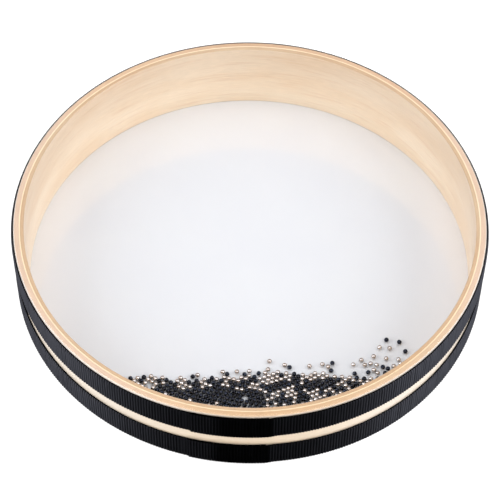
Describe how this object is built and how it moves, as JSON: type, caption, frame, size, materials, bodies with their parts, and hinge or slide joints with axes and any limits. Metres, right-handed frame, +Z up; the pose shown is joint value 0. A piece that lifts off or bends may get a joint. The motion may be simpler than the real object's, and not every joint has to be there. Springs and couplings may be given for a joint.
{
  "type": "ocean drum",
  "caption": "Shallow round frame drum with a clear head, a white head, two ribbed ribbons and small steel balls that roll inside with the sound of surf.",
  "frame": {"origin": "centre of the base, on the surface that the drum lies on", "axes": "+Z up through the middle of both heads, towards the clear head; -Y towards the front, where the balls lie banked and the ribbons lap"},
  "size_m": [0.3066, 0.3076, 0.054],
  "materials": {
    "outer_ply": "clear lacquered edge, bare outside",
    "core_ply": "clear lacquered",
    "inner_ply": "clear satin lacquer",
    "clear_film": "clear and glossy",
    "white_film": "milky white and glossy",
    "ribbon": "black ribbed grosgrain",
    "silver_ball": "polished, warm nickel colour",
    "black_ball": "blued steel, blue-black"
  },
  "bodies": {
    "drum": {"shell_outer_ply": "outer_ply", "shell_core_ply": "core_ply", "shell_inner_ply": "inner_ply", "clear_head": "clear_film", "white_head": "white_film", "upper_ribbon": "ribbon", "lower_ribbon": "ribbon"},
    "rim_row": {"rim_row_silver": "silver_ball", "rim_row_black": "black_ball"},
    "bank": {"bank_silver": "silver_ball", "bank_black": "black_ball"},
    "loose": {"loose_silver": "silver_ball", "loose_black": "black_ball"},
    "silver_ball_1": {"silver_ball_1": "silver_ball"},
    "silver_ball_2": {"silver_ball_2": "silver_ball"},
    "silver_ball_3": {"silver_ball_3": "silver_ball"},
    "black_ball_1": {"black_ball_1": "black_ball"},
    "black_ball_2": {"black_ball_2": "black_ball"},
    "black_ball_3": {"black_ball_3": "black_ball"}
  },
  "joints": [
    {"name": "swirl", "type": "hinge", "parent": "drum", "child": "rim_row", "pos_m": [0, 0, 0.00195], "axis": [0, 0, 1], "continuous": true},
    {"name": "wash", "type": "slide", "parent": "rim_row", "child": "bank", "axis": [0, 1, 0], "range_m": [0, 0.13]},
    {"name": "run_ahead", "type": "slide", "parent": "bank", "child": "loose", "axis": [0, 1, 0], "range_m": [0, 0.015]},
    {"name": "roll_silver_1", "type": "slide", "parent": "loose", "child": "silver_ball_1", "axis": [0, 1, 0], "range_m": [0, 0.015]},
    {"name": "roll_silver_2", "type": "slide", "parent": "loose", "child": "silver_ball_2", "axis": [0, 1, 0], "range_m": [0, 0.015]},
    {"name": "roll_silver_3", "type": "slide", "parent": "loose", "child": "silver_ball_3", "axis": [0, 1, 0], "range_m": [0, 0.015]},
    {"name": "roll_black_1", "type": "slide", "parent": "loose", "child": "black_ball_1", "axis": [0, 1, 0], "range_m": [0, 0.015]},
    {"name": "roll_black_2", "type": "slide", "parent": "loose", "child": "black_ball_2", "axis": [0, 1, 0], "range_m": [0, 0.015]},
    {"name": "roll_black_3", "type": "slide", "parent": "loose", "child": "black_ball_3", "axis": [0, 1, 0], "range_m": [0, 0.015]}
  ]
}
